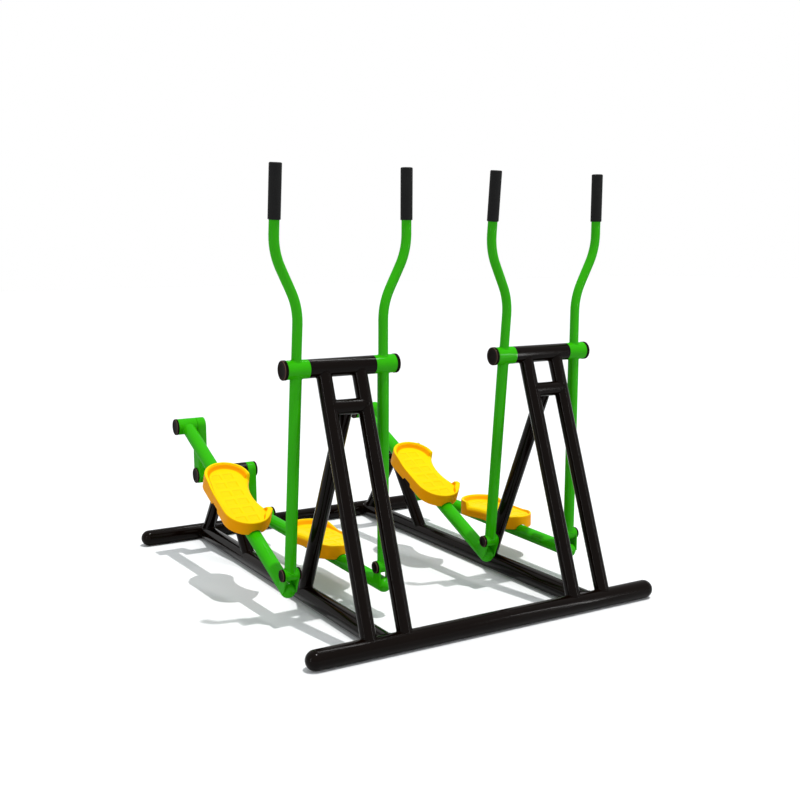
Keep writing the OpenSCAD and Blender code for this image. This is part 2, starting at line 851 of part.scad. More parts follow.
crank_pin(right, right);  // right_station_right_crank_pin
pivot_pin(left, left);  // left_station_left_pivot_pin
pivot_pin(left, right);  // left_station_right_pivot_pin
pivot_pin(right, left);  // right_station_left_pivot_pin
pivot_pin(right, right);  // right_station_right_pivot_pin
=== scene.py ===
import json
import math

import bmesh
import bpy
import numpy as np
from mathutils import Matrix, Vector


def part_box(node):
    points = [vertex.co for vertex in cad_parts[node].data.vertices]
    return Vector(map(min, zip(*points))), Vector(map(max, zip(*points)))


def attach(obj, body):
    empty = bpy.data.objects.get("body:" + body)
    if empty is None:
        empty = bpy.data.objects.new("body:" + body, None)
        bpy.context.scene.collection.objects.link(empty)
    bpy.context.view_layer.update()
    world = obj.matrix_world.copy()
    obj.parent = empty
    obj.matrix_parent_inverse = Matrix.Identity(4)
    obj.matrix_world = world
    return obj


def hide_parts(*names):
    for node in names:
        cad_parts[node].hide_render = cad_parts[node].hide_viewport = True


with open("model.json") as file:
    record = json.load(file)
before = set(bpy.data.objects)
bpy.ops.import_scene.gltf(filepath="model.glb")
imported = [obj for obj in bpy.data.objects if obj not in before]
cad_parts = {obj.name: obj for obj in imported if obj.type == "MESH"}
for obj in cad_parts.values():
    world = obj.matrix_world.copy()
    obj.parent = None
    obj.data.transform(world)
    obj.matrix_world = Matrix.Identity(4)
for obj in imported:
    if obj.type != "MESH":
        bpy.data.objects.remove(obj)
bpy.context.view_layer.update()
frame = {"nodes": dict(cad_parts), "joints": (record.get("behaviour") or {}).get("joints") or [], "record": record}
print("frame loaded:", len(frame["nodes"]), "nodes")

mm = 0.001
stationNames = ("left_station", "right_station")
sideNames = ("left", "right")
jointAt = {j["name"]: np.array(j["pos_m"], float) for j in frame["joints"]}


# Mesh helpers

merge = {"doubles": 1e-5, "slivers": 1e-6, "sharpAngle": 35.0}


def newObject(name, data):
    obj = bpy.data.objects.new(name, data)
    bpy.context.scene.collection.objects.link(obj)
    return obj


def meshObject(name, points, faces, material, marks=None):
    # The faces are turned outwards by the sign of the volume that they enclose
    points = np.asarray(points, float).reshape(-1, 3)
    quads = np.asarray(faces, int)
    a, b, c, d = (points[quads[:, k]] for k in range(4))
    volume = np.einsum("ij,ij->i", a, np.cross(b, c) + np.cross(c, d)).sum()
    if volume < 0:
        quads = quads[:, ::-1]
    mesh = bpy.data.meshes.new(name)
    mesh.from_pydata(points.tolist(), [], quads.tolist())
    for label, values in (marks or {}).items():
        mesh.attributes.new(label, "FLOAT", "POINT")
        mesh.attributes[label].data.foreach_set("value", np.asarray(values, np.float32).ravel())
    work = bmesh.new()
    work.from_mesh(mesh)
    bmesh.ops.remove_doubles(work, verts=work.verts, dist=merge["doubles"])
    bmesh.ops.dissolve_degenerate(work, edges=work.edges, dist=merge["slivers"])
    bmesh.ops.delete(work, geom=[e for e in work.edges if not e.link_faces], context="EDGES")
    bmesh.ops.recalc_face_normals(work, faces=work.faces)
    work.to_mesh(mesh)
    work.free()
    mesh.shade_smooth()
    mesh.set_sharp_from_angle(angle=math.radians(merge["sharpAngle"]))
    mesh.materials.append(material)
    return newObject(name, mesh)


def gridFaces(rows, columns, wrapRows=False, start=0):
    # Quads between neighbouring rows and columns of a grid of points whose columns close on themselves
    r, c = np.meshgrid(np.arange(rows if wrapRows else rows - 1), np.arange(columns), indexing="ij")
    r2, c2 = (r + 1) % rows, (c + 1) % columns
    quads = np.stack([r * columns + c, r * columns + c2, r2 * columns + c2, r2 * columns + c], -1)
    return quads.reshape(-1, 4) + start


def joinedGrids(name, grids, material, wrapRows=False):
    # Several grids as one piece
    points, faces, start = [], [], 0
    for grid in grids:
        faces.append(gridFaces(grid.shape[0], grid.shape[1], wrapRows, start))
        points.append(grid.reshape(-1, 3))
        start += grid.shape[0] * grid.shape[1]
    return meshObject(name, np.concatenate(points), np.concatenate(faces), material)


def turnX(points, degrees):
    # Turns points about the X axis by the right-hand rule
    c, s = math.cos(math.radians(degrees)), math.sin(math.radians(degrees))
    return np.asarray(points, float) @ np.array([[1, 0, 0], [0, c, s], [0, -s, c]])


def lathe(profile, steps=64):
    # Each profile point (r, z) goes round the Z axis: x = r cos a, y = r sin a
    profile = np.asarray(profile, float)
    a = np.linspace(0, 2 * np.pi, steps, endpoint=False)
    r, z = profile[:, :1], profile[:, 1:]
    return np.stack([r * np.cos(a), r * np.sin(a), z + 0 * a], -1)


def smoothStep(x):
    # From 0 to 1 with no slope at either end: 3 x squared - 2 x cubed
    x = np.clip(x, 0, 1)
    return x * x * (3 - 2 * x)


quarterTurn = np.radians(np.linspace(0, 90, 9))


# Weld beads

weld = {"radius": 1.9 * mm, "ripple": 0.1, "wave": 4.5 * mm, "sides": 10, "steps": 96}


def saddleBead(start, towards, radius, axisPoint, axis, axisRadius):
    # Where each line of a tube first meets a round bar: |p + t d - q| across the bar's axis = its radius.
    # A round section with a sine ripple is carried along that closed curve.
    start, axisPoint = np.asarray(start, float), np.asarray(axisPoint, float)
    axis = np.asarray(axis, float) / np.linalg.norm(axis)
    d = np.asarray(towards, float) - start
    d /= np.linalg.norm(d)
    u = np.cross(d, axis)
    u /= np.linalg.norm(u)
    v = np.cross(d, u)
    a = np.linspace(0, 2 * np.pi, weld["steps"], endpoint=False)
    normal = np.cos(a)[:, None] * u + np.sin(a)[:, None] * v
    p = start + radius * normal
    flatD = d - (d @ axis) * axis
    w = p - axisPoint
    w -= (w @ axis)[:, None] * axis
    aa, bb, cc = flatD @ flatD, w @ flatD, (w * w).sum(1) - axisRadius ** 2
    t = (-bb - np.sqrt(np.maximum(bb * bb - aa * cc, 0))) / aa
    path = p + t[:, None] * d
    out = path - axisPoint
    out -= (out @ axis)[:, None] * axis
    lift = normal + out / np.linalg.norm(out, axis=1, keepdims=True)
    tangent = np.roll(path, -1, 0) - np.roll(path, 1, 0)
    length = np.linalg.norm(tangent, axis=1).sum() / 2
    tangent /= np.linalg.norm(tangent, axis=1, keepdims=True)
    lift -= (lift * tangent).sum(1, keepdims=True) * tangent
    lift /= np.linalg.norm(lift, axis=1, keepdims=True)
    side = np.cross(tangent, lift)
    waves = round(length / weld["wave"])
    r = weld["radius"] * (1 + weld["ripple"] * np.sin(waves * a))[:, None, None]
    b = np.linspace(0, 2 * np.pi, weld["sides"], endpoint=False)[None, :, None]
    return path[:, None] + r * (np.cos(b) * lift[:, None] + np.sin(b) * side[:, None])


# Shader groups and materials

def newGroup(name, inputs, outputs):
    group = bpy.data.node_groups.new(name, "ShaderNodeTree")
    for label, kind, value in inputs:
        group.interface.new_socket(name=label, in_out="INPUT", socket_type=kind).default_value = value
    for label, kind in outputs:
        group.interface.new_socket(name=label, in_out="OUTPUT", socket_type=kind)
    return group


def addNode(tree, kind, inputs=None, **settings):
    node = tree.nodes.new(kind)
    for key, value in settings.items():
        setattr(node, key, value)
    for key, value in (inputs or {}).items():
        if isinstance(value, bpy.types.NodeSocket):
            tree.links.new(value, node.inputs[key])
        else:
            node.inputs[key].default_value = value
    return node


# Short forms of the nodes used most: a range moved to another, a sum or product, a mix of two colours

def remap(tree, value, source=(0.0, 1.0), target=(0.0, 1.0)):
    limits = {"Value": value, "From Min": source[0], "From Max": source[1], "To Min": target[0],
              "To Max": target[1]}
    return addNode(tree, "ShaderNodeMapRange", limits).outputs[0]


def combine(tree, operation, *values):
    return addNode(tree, "ShaderNodeMath", dict(enumerate(values)), operation=operation).outputs[0]


def mixColours(tree, share, first, second):
    return addNode(tree, "ShaderNodeMix", {0: share, 6: first, 7: second}, data_type="RGBA").outputs[2]


def objectPlace(tree):
    return addNode(tree, "ShaderNodeTexCoord").outputs["Object"]


def endGroup(group, colour, roughness, height, strength, distance):
    # The height becomes a normal, and the three results leave the group
    bump = addNode(group, "ShaderNodeBump", {"Height": height, "Strength": strength, "Distance": distance})
    results = {"Colour": colour, "Roughness": roughness, "Normal": bump.outputs[0]}
    addNode(group, "NodeGroupOutput", results)


colourSocket, valueSocket, vectorSocket = "NodeSocketColor", "NodeSocketFloat", "NodeSocketVector"
groupOutputs = [("Colour", colourSocket), ("Roughness", valueSocket), ("Normal", vectorSocket)]
coatValues = {
    "peelDetail": 1.5, "peelDistance": 0.0006, "cloudScale": 9.0, "cloudDetail": 5.0, "cloudRoughness": 0.6,
    "speckScale": 160.0, "speckDetail": 3.0, "dustHeight": (0.0, 0.3), "dustByHeight": (1.0, 0.2),
    "patch": (0.4, 0.75), "speck": (0.35, 0.7), "shade": (0.88, 1.12), "dustRoughness": 0.9,
}


def coatGroup():
    # Powder coat: orange peel, cloudy tone, dust that thickens towards the ground
    v = coatValues
    group = newGroup("powderCoat", [
        ("Colour", colourSocket, (0.5, 0.5, 0.5, 1)), ("Dust Colour", colourSocket, (0.3, 0.27, 0.22, 1)),
        ("Dust", valueSocket, 0.1), ("Peel Scale", valueSocket, 380.0), ("Peel Depth", valueSocket, 0.1),
        ("Gloss", valueSocket, 0.25),
    ], groupOutputs)
    gin = addNode(group, "NodeGroupInput").outputs
    place = objectPlace(group)
    peel = addNode(group, "ShaderNodeTexNoise",
                   {"Vector": place, "Scale": gin["Peel Scale"], "Detail": v["peelDetail"]}).outputs["Fac"]
    cloud = addNode(group, "ShaderNodeTexNoise",
                    {"Vector": place, "Scale": v["cloudScale"], "Detail": v["cloudDetail"],
                     "Roughness": v["cloudRoughness"]}).outputs["Fac"]
    speck = addNode(group, "ShaderNodeTexNoise",
                    {"Vector": place, "Scale": v["speckScale"], "Detail": v["speckDetail"]}).outputs["Fac"]
    height = addNode(group, "ShaderNodeSeparateXYZ", {"Vector": place}).outputs["Z"]
    dusty = remap(group, cloud, v["patch"])
    for factor in (remap(group, speck, v["speck"]), remap(group, height, v["dustHeight"], v["dustByHeight"]),
                   gin["Dust"]):
        dusty = combine(group, "MULTIPLY", dusty, factor)
    shade = remap(group, cloud, target=v["shade"])
    tint = addNode(group, "ShaderNodeVectorMath", {0: gin["Colour"], 1: shade}, operation="MULTIPLY")
    endGroup(group, mixColours(group, dusty, tint.outputs[0], gin["Dust Colour"]),
             combine(group, "MULTIPLY_ADD", dusty, v["dustRoughness"], gin["Gloss"]),
             peel, gin["Peel Depth"], v["peelDistance"])
    return group


mouldValues = {"cloudScale": 22.0, "cloudDetail": 6.0, "cloudRoughness": 0.65, "patch": (0.42, 0.8),
               "wornRoughness": 0.5, "grainDistance": 0.0004}


def mouldGroup():
    # Moulded plastic, rubber or turned metal: fine grain, cloudy wear, and a second colour of painted light where
    # its share is 1: painted shade on the footplate, a painted highlight on the caps' edges
    v = mouldValues
    group = newGroup("mouldedGrain", [
        ("Colour", colourSocket, (0.5, 0.5, 0.5, 1)), ("Side Colour", colourSocket, (0.5, 0.5, 0.5, 1)),
        ("Worn Colour", colourSocket, (0.6, 0.6, 0.6, 1)), ("Side", valueSocket, 0.0),
        ("Wear", valueSocket, 0.2), ("Grain Scale", valueSocket, 700.0), ("Grain Depth", valueSocket, 0.2),
        ("Gloss", valueSocket, 0.4),
    ], groupOutputs)
    gin = addNode(group, "NodeGroupInput").outputs
    place = objectPlace(group)
    grain = addNode(group, "ShaderNodeTexVoronoi", {"Vector": place, "Scale": gin["Grain Scale"]})
    cloud = addNode(group, "ShaderNodeTexNoise",
                    {"Vector": place, "Scale": v["cloudScale"], "Detail": v["cloudDetail"],
                     "Roughness": v["cloudRoughness"]}).outputs["Fac"]
    worn = combine(group, "MULTIPLY", remap(group, cloud, v["patch"]), gin["Wear"])
    sided = mixColours(group, gin["Side"], gin["Colour"], gin["Side Colour"])
    endGroup(group, mixColours(group, worn, sided, gin["Worn Colour"]),
             combine(group, "MULTIPLY_ADD", worn, v["wornRoughness"], gin["Gloss"]),
             grain.outputs["Distance"], gin["Grain Depth"], v["grainDistance"])
    return group


powderCoat, mouldedGrain = coatGroup(), mouldGroup()


def newMaterial(name, group, values, coat=0.0, coatRoughness=0.06, metallic=0.0, specular=0.5):
    # One shader group gives what changes over the surface; the rest is set on the shader itself
    material = bpy.data.materials.new(name)
    material.use_nodes = True
    tree = material.node_tree
    shader = tree.nodes["Principled BSDF"]
    node = addNode(tree, "ShaderNodeGroup", node_tree=group)
    for key, value in values.items():
        node.inputs[key].default_value = value
    for label, socket in (("Colour", "Base Color"), ("Roughness", "Roughness"), ("Normal", "Normal")):
        tree.links.new(node.outputs[label], shader.inputs[socket])
    shader.inputs["Coat Weight"].default_value = coat
    shader.inputs["Coat Roughness"].default_value = coatRoughness
    shader.inputs["Metallic"].default_value = metallic
    shader.inputs["Specular IOR Level"].default_value = specular
    return material


greenLook = {"Colour": (0.03, 0.42, 0.002, 1), "Gloss": 0.14, "Dust": 0.1, "Dust Colour": (0.1, 0.3, 0.04, 1)}
blackLook = {"Colour": (0.0028, 0.001, 0.0004, 1), "Gloss": 0.14, "Dust": 0.06,
             "Dust Colour": (0.03, 0.022, 0.017, 1)}
# The side colour of the yellow is painted shade, a deeper orange for faces that the light misses
yellowLook = {"Colour": (0.9, 0.62, 0.001, 1), "Side Colour": (0.93, 0.36, 0.001, 1),
              "Worn Colour": (0.8, 0.5, 0.004, 1), "Wear": 0.2, "Gloss": 0.4, "Grain Depth": 0.15}
rubberLook = {"Colour": (0.01, 0.01, 0.01, 1), "Worn Colour": (0.025, 0.025, 0.024, 1), "Wear": 0.4,
              "Gloss": 0.6, "Grain Scale": 500.0, "Grain Depth": 0.5}
# The side colour of the caps is a painted highlight on their rounded edges
capLook = {"Colour": (0.005, 0.003, 0.002, 1), "Side Colour": (0.09, 0.05, 0.04, 1),
           "Worn Colour": (0.016, 0.011, 0.008, 1), "Wear": 0.4, "Gloss": 0.25, "Grain Depth": 0.12}
steelLook = {"Colour": (0.45, 0.45, 0.46, 1), "Worn Colour": (0.3, 0.29, 0.27, 1), "Wear": 0.5, "Gloss": 0.28,
             "Grain Depth": 0.05}
greenPaint = newMaterial("greenPowderCoat", powderCoat, greenLook, coat=0.15, specular=0.0)
blackPaint = newMaterial("blackPowderCoat", powderCoat, blackLook, coat=0.05, specular=0.05)
yellowPlastic = newMaterial("yellowMoulded", mouldedGrain, yellowLook, specular=0.03)
gripRubber = newMaterial("gripRubber", mouldedGrain, rubberLook, specular=0.08)
capPlastic = newMaterial("darkCap", mouldedGrain, capLook, coat=0.08, specular=0.0)
steelMetal = newMaterial("groundSteel", mouldedGrain, steelLook, metallic=1.0)


def markPaintedLight(material, attribute):
    # The share of the painted light colour comes from an attribute of the piece's points: painted shade on the
    # footplate, a painted highlight on the caps
    tree = material.node_tree
    mark = addNode(tree, "ShaderNodeAttribute", attribute_name=attribute)
    group = [n for n in tree.nodes if n.type == "GROUP"][0]
    tree.links.new(mark.outputs["Fac"], group.inputs["Side"])


markPaintedLight(capPlastic, "capRim")
markPaintedLight(yellowPlastic, "wallTint")

materialOfSlot = {"black_paint": blackPaint, "green_paint": greenPaint, "yellow_plastic": yellowPlastic,
                  "grip_rubber": gripRubber, "dark_plastic": capPlastic, "bare_steel": steelMetal,
                  "zinc_steel": capPlastic}
for part in frame["record"]["subparts"]:
    mesh = frame["nodes"][part["node"]].data
    mesh.materials.clear()
    mesh.materials.append(materialOfSlot[part["material_slot"]])
print("materials done")


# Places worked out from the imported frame

bar = {"pivotAlong": 1008 * mm, "pivotRise": 62 * mm, "offset": 153.9 * mm, "radius": 25 * mm,
       "sleeveRadius": 31 * mm}


def boxMiddle(node):
    low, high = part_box(node)
    return (np.array(low) + np.array(high)) / 2


def onBar(points, station, side):
    # Points of a pedal bar: x towards the station's middle, y back along the bar from the crank pin
    pivot = jointAt[station + "_" + side + "_pedal_bar_swing"]
    axle = jointAt[station + "_crank_turn"]
    inward = 1 if side == "left" else -1
    pin = np.array([axle[0] - inward * bar["offset"], axle[1], axle[2] + inward * crank["radius"]])
    turn = math.atan2(pivot[2] - pin[2], pivot[1] - pin[1])
    turn -= math.atan2(bar["pivotRise"], -bar["pivotAlong"])
    return turnX(np.asarray(points, float) * np.array([inward, 1, 1]), math.degrees(turn)) + pin


def onHandle(points, station, side):
    # Points of a handle: x outwards, z up the handle from its pivot
    top = jointAt[station + "_" + side + "_handle_swing"]
    low = jointAt[station + "_" + side + "_pedal_bar_swing"]
    turn = math.degrees(math.atan2(low[1] - top[1], top[2] - low[2]))
    outward = -1 if side == "left" else 1
    points = np.asarray(points, float) * np.array([outward, outward, 1])
    points = points + np.array([outward * bar["offset"], 0, 0])
    return turnX(points, turn) + np.array([jointAt[station + "_crank_turn"][0], top[1], top[2]])


# Crank

crank = {"radius": 200 * mm, "armWidth": 62 * mm, "armThick": 36 * mm, "armIn": 84.9 * mm, "edge": 5 * mm,
         "axleRadius": 12.5 * mm, "axleInArm": 5 * mm, "faceRings": (1.0, 0.7, 0.4)}


def armGrid():
    # Round-ended bar as rings: from its middle line over one face, round the edges and back over the other.
    # A ring is the outline moved inwards by edge (1 - sin a) at the depth edge (1 - cos a).
    c = crank
    half = c["armWidth"] / 2
    a = np.linspace(0, np.pi, 49)
    low = np.stack([-half * np.cos(a), -half * np.sin(a)], -1)
    line = np.concatenate([low, low * -1 + np.array([0, c["radius"]])])
    spine = np.stack([np.zeros(len(line)), np.clip(line[:, 1], 0, c["radius"])], -1)
    rings = [(half * share, 0.0) for share in c["faceRings"]]
    rings += [(c["edge"] * (1 - math.sin(t)), c["edge"] * (1 - math.cos(t))) for t in quarterTurn]
    rings += [(0.0, c["armThick"] / 2)]
    rings += [(inset, c["armThick"] - depth) for inset, depth in rings[-2::-1]]
    inward = (spine - line) / half
    return np.stack([np.concatenate([line + inward * inset, np.full((len(line), 1), depth)], 1)
                     for inset, depth in rings])


arm = armGrid()
for station in stationNames:
    axle = jointAt[station + "_crank_turn"]
    # The left arm stands up and the right arm hangs down
    grids = [np.stack([way * (crank["armIn"] + arm[..., 2]), arm[..., 0], -way * arm[..., 1]], -1) + axle
             for way in (-1, 1)]
    reach = crank["armIn"] + crank["axleInArm"]
    rod = lathe([[0, 0], [crank["axleRadius"], 0], [crank["axleRadius"], 2 * reach], [0, 2 * reach]], 48)
    grids.append(np.stack([rod[..., 2] - reach, rod[..., 0], rod[..., 1]], -1) + axle)
    piece = joinedGrids(station + "_rounded_crank", grids, greenPaint)
    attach(piece, station + "_crank_set")
    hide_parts(station + "_crank")
print("cranks done")


# Footplates

plate = {
    "start": 358 * mm, "length": 366 * mm, "width": 166 * mm, "shift": 4 * mm, "tread": 50 * mm,
    "skirt": 40 * mm, "wall": 5 * mm, "arcStep": 1.5 * mm, "outlineStep": 2.0 * mm, "outlineSmoothing": 3,
    "waistWidth": 141 * mm, "waistRadius": 208 * mm, "waistShare": 0.53, "waistRound": 18 * mm,
    "waistAhead": 15 * mm, "cornerRadius": 18 * mm, "cornerOut": 5 * mm, "cornerBack": 69 * mm,
    "heelHeight": 19 * mm, "heelWidth": 11 * mm, "heelSlope": 11 * mm, "heelEdge": 9 * mm,
    "heelOuter": (85 * mm, 100 * mm), "heelInner": (14 * mm, 8 * mm),
    "rimHeight": 6 * mm, "rimWidth": 7 * mm, "rimSlope": 4 * mm, "rimInner": (16 * mm, 10 * mm),
    "toeRim": 10 * mm, "toeFade": 60 * mm, "crestShare": 0.82, "crestIn": 1.2 * mm, "crestFoot": 0.8 * mm,
    "crestWidth": 0.45, "crestRound": 0.6, "edgeRound": 4 * mm, "edgeRoom": 1.5 * mm,
    "lipHeight": 14 * mm, "lipWidth": 19 * mm, "lipLength": 78 * mm, "lipFade": 2.2, "lipStart": (0.85, 0.6),
    "archHeight": 12 * mm, "archLength": 52 * mm, "archOver": 4 * mm, "archFade": 9 * mm,
    "notchRadius": 26.2 * mm, "notchRoom": 0.6 * mm, "lowerRound": 1.2 * mm,
    "padPitch": (45 * mm, 51 * mm), "padSize": (34 * mm, 31 * mm), "padFrom": (-40 * mm, 478 * mm),
    "padFirst": (0, -1), "padLast": (1, 4), "padDepth": 1.7 * mm, "padEdge": 4 * mm, "padRoom": 5 * mm,
    # The first four values on the next line are shares of painted shade on recess sides and floors, the rim's
    # inner face and the outer edge
    "padTint": 1.1, "padFloorTint": 0.1, "faceTint": (6, 3.5), "edgeTint": (0.7, 0.8), "treadRows": 44,
}


def arc(centre, radius, fromDeg, toDeg):
    # Points at centre + radius (cos a, sin a), about one step apart, without the last one
    count = max(4, int(abs(math.radians(toDeg - fromDeg)) * radius / plate["arcStep"]))
    a = np.radians(np.linspace(fromDeg, toDeg, count, endpoint=False))
    return np.array(centre) + radius * np.stack([np.cos(a), np.sin(a)], -1)


def plateOutline():
    # Plan of the footplate as [across, along]: heel arc, waist arc, inner corner, toe arc, straight side
    p = plate
    half = p["width"] / 2
    heel = np.array([-p["shift"], p["start"] + half])
    toe = np.array([-p["shift"], p["start"] + p["length"] - half])
    waist = np.array([heel[0] - half + p["waistWidth"] + p["waistRadius"],
                      p["start"] + p["waistShare"] * p["length"]])
    corner = np.array([heel[0] + half + p["cornerOut"] - p["cornerRadius"],
                       p["start"] + p["length"] - p["cornerBack"]])
    inner = heel[0] + half
    rise = math.sqrt(p["waistRadius"] ** 2 - (waist[0] - inner) ** 2)
    waistFrom = math.degrees(math.atan2(-rise, inner - waist[0])) % 360
    # Where the waist's circle and the corner's circle meet
    gap = corner - waist
    span = np.linalg.norm(gap)
    share = (p["waistRadius"] ** 2 - p["cornerRadius"] ** 2 + span ** 2) / (2 * span)
    rest = math.sqrt(p["waistRadius"] ** 2 - share ** 2)
    meet = waist + gap / span * share - np.array([-gap[1], gap[0]]) / span * rest
    waistTo = math.degrees(math.atan2(meet[1] - waist[1], meet[0] - waist[0])) % 360
    cornerFrom = math.degrees(math.atan2(meet[1] - corner[1], meet[0] - corner[0]))
    lean = corner - toe
    tangent = math.acos((half - p["cornerRadius"]) / np.linalg.norm(lean))
    cornerTo = math.degrees(math.atan2(lean[1], lean[0]) + tangent)
    points = np.concatenate([
        arc(heel, half, 180, 360), np.array([[inner, heel[1]]]),
        arc(waist, p["waistRadius"], waistFrom, waistTo),
        arc(corner, p["cornerRadius"], cornerFrom, cornerTo), arc(toe, half, cornerTo, 180),
    ])
    closed = np.concatenate([points, points[:1]])
    length = np.concatenate([[0], np.cumsum(np.linalg.norm(np.diff(closed, axis=0), axis=1))])
    at = np.linspace(0, length[-1], int(length[-1] / p["outlineStep"]), endpoint=False)
    line = np.stack([np.interp(at, length, closed[:, k]) for k in (0, 1)], -1)
    for _ in range(p["outlineSmoothing"]):
        line = (np.roll(line, 1, 0) + 2 * line + np.roll(line, -1, 0)) / 4
    return line, heel, toe, corner


def padRelief(place, room):
    # Share of the depth of shallow recesses on a regular pitch: along each axis the distance to the nearest
    # middle of a recess goes through a smooth step at its edge; the two are multiplied, and fade near the rim
    share = 1.0
    for axis in (0, 1):
        pitch, size = plate["padPitch"][axis], plate["padSize"][axis]
        off = place[..., axis] - plate["padFrom"][axis]
        nearest = np.clip(np.round(off / pitch), plate["padFirst"][axis], plate["padLast"][axis])
        off = abs(off - pitch * nearest)
        share = share * smoothStep((size / 2 - off) / plate["padEdge"] + 0.5)
    return share * smoothStep((room - plate["padRoom"]) / plate["padRoom"])


def rimShares(line, heel, toe, corner):
    # How much of the heel rim, of the lip and of any rim there is at each point of the outline, as smooth
    # steps of the distance along it. The lip starts at the inner corner and runs out towards the front.
    p = plate
    across, along = line[:, 0], line[:, 1]

    def fading(end, length):
        return smoothStep((heel[1] + end - along) / length)

    onWaist = (across > heel[0] + p["width"] / 4) & (along > heel[1]) & (along < toe[1] + p["waistAhead"])
    heelShare = np.where(across < heel[0], fading(*p["heelOuter"]), along < heel[1] + p["heelEdge"])
    heelShare = np.where(onWaist, fading(*p["heelInner"]), heelShare).astype(float)
    fromTip = np.hypot(across - corner[0] - p["cornerRadius"], along - corner[1])
    lip = np.where(across > toe[0], smoothStep(p["lipFade"] - p["lipFade"] * fromTip / p["lipLength"]), 0.0)
    startsAt, startsOver = (share * p["cornerRadius"] for share in p["lipStart"])
    lip = lip * smoothStep((along - corner[1] + startsAt) / startsOver)
    anyRim = np.where(onWaist, fading(*p["rimInner"]), 1.0)
    return heelShare, lip, np.maximum(anyRim, lip)


def skirtBottom(line, heel, toe):
    # Height of the skirt's lower edge: straight, with an arch at the outer side and notches over the bar
    p = plate
    across, along = line[:, 0], line[:, 1]
    inside = (along > heel[1]) & (along < toe[1])
    overBar = np.where((abs(across) < p["notchRadius"]) & ~inside,
                       np.sqrt(np.maximum(p["notchRadius"] ** 2 - across ** 2, 0)), 0)
    middle = p["start"] + p["waistShare"] * p["length"]
    fromEnd = p["archLength"] / 2 + p["archOver"] - abs(along - middle)
    arch = p["archHeight"] * smoothStep(fromEnd / p["archFade"]) * (inside & (across < 0))
    return np.maximum(p["tread"] - p["skirt"] + arch, overBar + p["notchRoom"])


def footplateGrid():
    # Rows run from the tread's middle line over the rim, down the skirt, round its lower edge and back under.
    # A row is the outline moved inwards by its inset at its own height: the tread less the recesses, the
    # tread plus the rim's rise times a smooth step, quarter circles at the crest and edges, a flat underside.
    p = plate
    line, heel, toe, corner = plateOutline()
    spine = np.stack([np.full(len(line), heel[0]), np.clip(line[:, 1], heel[1], toe[1])], -1)
    inward = spine - line
    reach = np.linalg.norm(inward, axis=1)
    inward /= reach[:, None]
    heelShare, lip, anyRim = rimShares(line, heel, toe, corner)
    towardsToe = smoothStep((line[:, 1] - toe[1]) / p["toeFade"] + 0.5)
    rim = p["rimHeight"] + (p["toeRim"] - p["rimHeight"]) * towardsToe
    rise = rim * anyRim * (1 - heelShare) + p["heelHeight"] * heelShare
    rise = rise + (p["lipHeight"] - rise) * lip
    width = p["rimWidth"] + (p["heelWidth"] - p["rimWidth"]) * heelShare
    width = width + (p["lipWidth"] - p["rimWidth"]) * lip
    slope = p["rimSlope"] + (p["heelSlope"] - p["rimSlope"]) * heelShare
    # The waist has no rim, only a large round
    top, edge = p["tread"], p["edgeRound"] + (p["waistRound"] - p["edgeRound"]) * (1 - anyRim)
    width = np.maximum(width, edge + p["edgeRoom"])
    # Each row carries a share of painted shade, the deeper orange of faces that the light misses
    rows, marks = [], []

    def row(inset, height, mark):
        place = line + inward * np.broadcast_to(inset, reach.shape)[:, None]
        rows.append(np.concatenate([place, np.broadcast_to(height, reach.shape)[:, None]], 1))
        marks.append(np.broadcast_to(mark, reach.shape))

    clear = reach - width - slope
    for share in np.linspace(1, 0, p["treadRows"]):
        inset = width + slope + clear * share
        relief = padRelief(line + inward * inset[:, None], clear * share)
        # Painted shade: the sides of a recess are a shade deeper in colour, and its floor a little
        row(inset, top - p["padDepth"] * relief,
            p["padTint"] * relief * (1 - relief) + p["padFloorTint"] * relief)
    # Up the inner face of the rim, which gets painted shade in orange, then over its crest and its outer edge
    crest, crestIn = p["crestShare"], p["crestIn"]
    paintedShadeUp, paintedShadeDown = p["faceTint"]
    for a in np.linspace(0, 1, 9):
        tint = smoothStep(a * paintedShadeUp) * smoothStep((1 - a) * paintedShadeDown) * smoothStep(rise / p["rimSlope"])
        inset = width + (slope - p["crestFoot"]) * (1 - a) - crestIn * a
        row(inset, top + rise * smoothStep(a) * crest, tint)
    roundTop = np.minimum(edge, width * p["crestWidth"])
    for a in np.radians(np.linspace(0, 90, 7)):
        inset = width - crestIn - roundTop * (1 - math.cos(a)) * p["crestRound"]
        row(np.maximum(inset, edge), top + rise * (crest + (1 - crest) * math.sin(a)), 0.0)
    # Painted shade grows as the outer edge turns down
    paintedShadeFrom, paintedShadeOver = p["edgeTint"]
    for a in np.radians(np.linspace(8, 90, 8)):
        tint = smoothStep((a - paintedShadeFrom) / paintedShadeOver)
        row(edge * (1 - math.sin(a)), top + rise - edge * (1 - math.cos(a)), tint)
    bottom = skirtBottom(line, heel, toe)
    upper, lower, under = top + rise - edge, bottom + p["lowerRound"], top - p["wall"]
    # The skirt, its lower edge and the underside carry full painted shade
    for share in np.linspace(0, 1, 9)[1:]:
        row(0, upper + (lower - upper) * share, 1.0)
    for a in np.radians(np.linspace(0, 180, 7)[1:]):
        row(p["wall"] / 2 * (1 - math.cos(a)), bottom + p["lowerRound"] * (1 - math.sin(a)), 1.0)
    for share in np.linspace(0, 1, 5)[1:]:
        row(p["wall"], lower + (under - lower) * share, 1.0)
    for share in np.linspace(0, 1, 9)[1:]:
        row(p["wall"] + (reach - p["wall"]) * share, under, 1.0)
    grid = np.stack(rows)
    return np.stack([grid[..., 0], -grid[..., 1], grid[..., 2]], -1), np.stack(marks)


